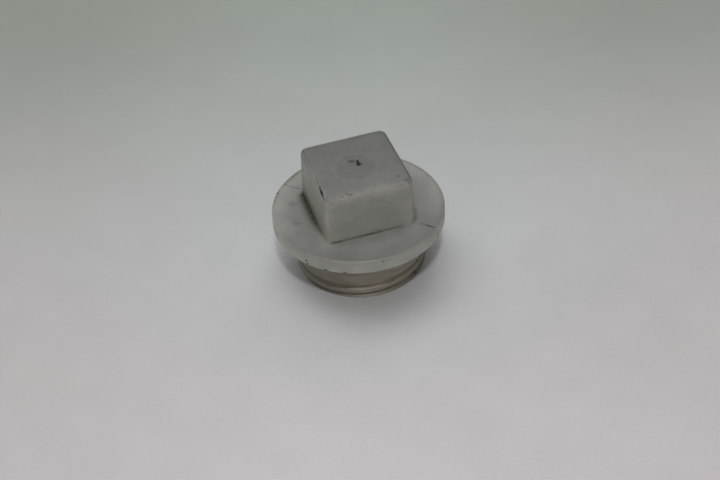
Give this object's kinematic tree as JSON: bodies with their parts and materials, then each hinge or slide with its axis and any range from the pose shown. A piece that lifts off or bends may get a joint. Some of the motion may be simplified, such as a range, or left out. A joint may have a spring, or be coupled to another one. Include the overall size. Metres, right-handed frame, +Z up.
{
  "type": "pipe plug",
  "caption": "Moulded plastic pipe plug with a square head for a spanner, a round sealing flange and a hollow spigot with a male pipe thread.",
  "frame": {"origin": "middle of the spigot's open end, on which the plug stands", "axes": "+Z up along the plug's axis through the head; the head's flats face X and Y"},
  "size_m": [0.0276, 0.0276, 0.0191],
  "materials": {
    "natural_plastic": "milky, uncoloured moulded plastic, satin, with grime in its corners"
  },
  "bodies": {
    "root": {"plug": "natural_plastic"}
  },
  "joints": []
}
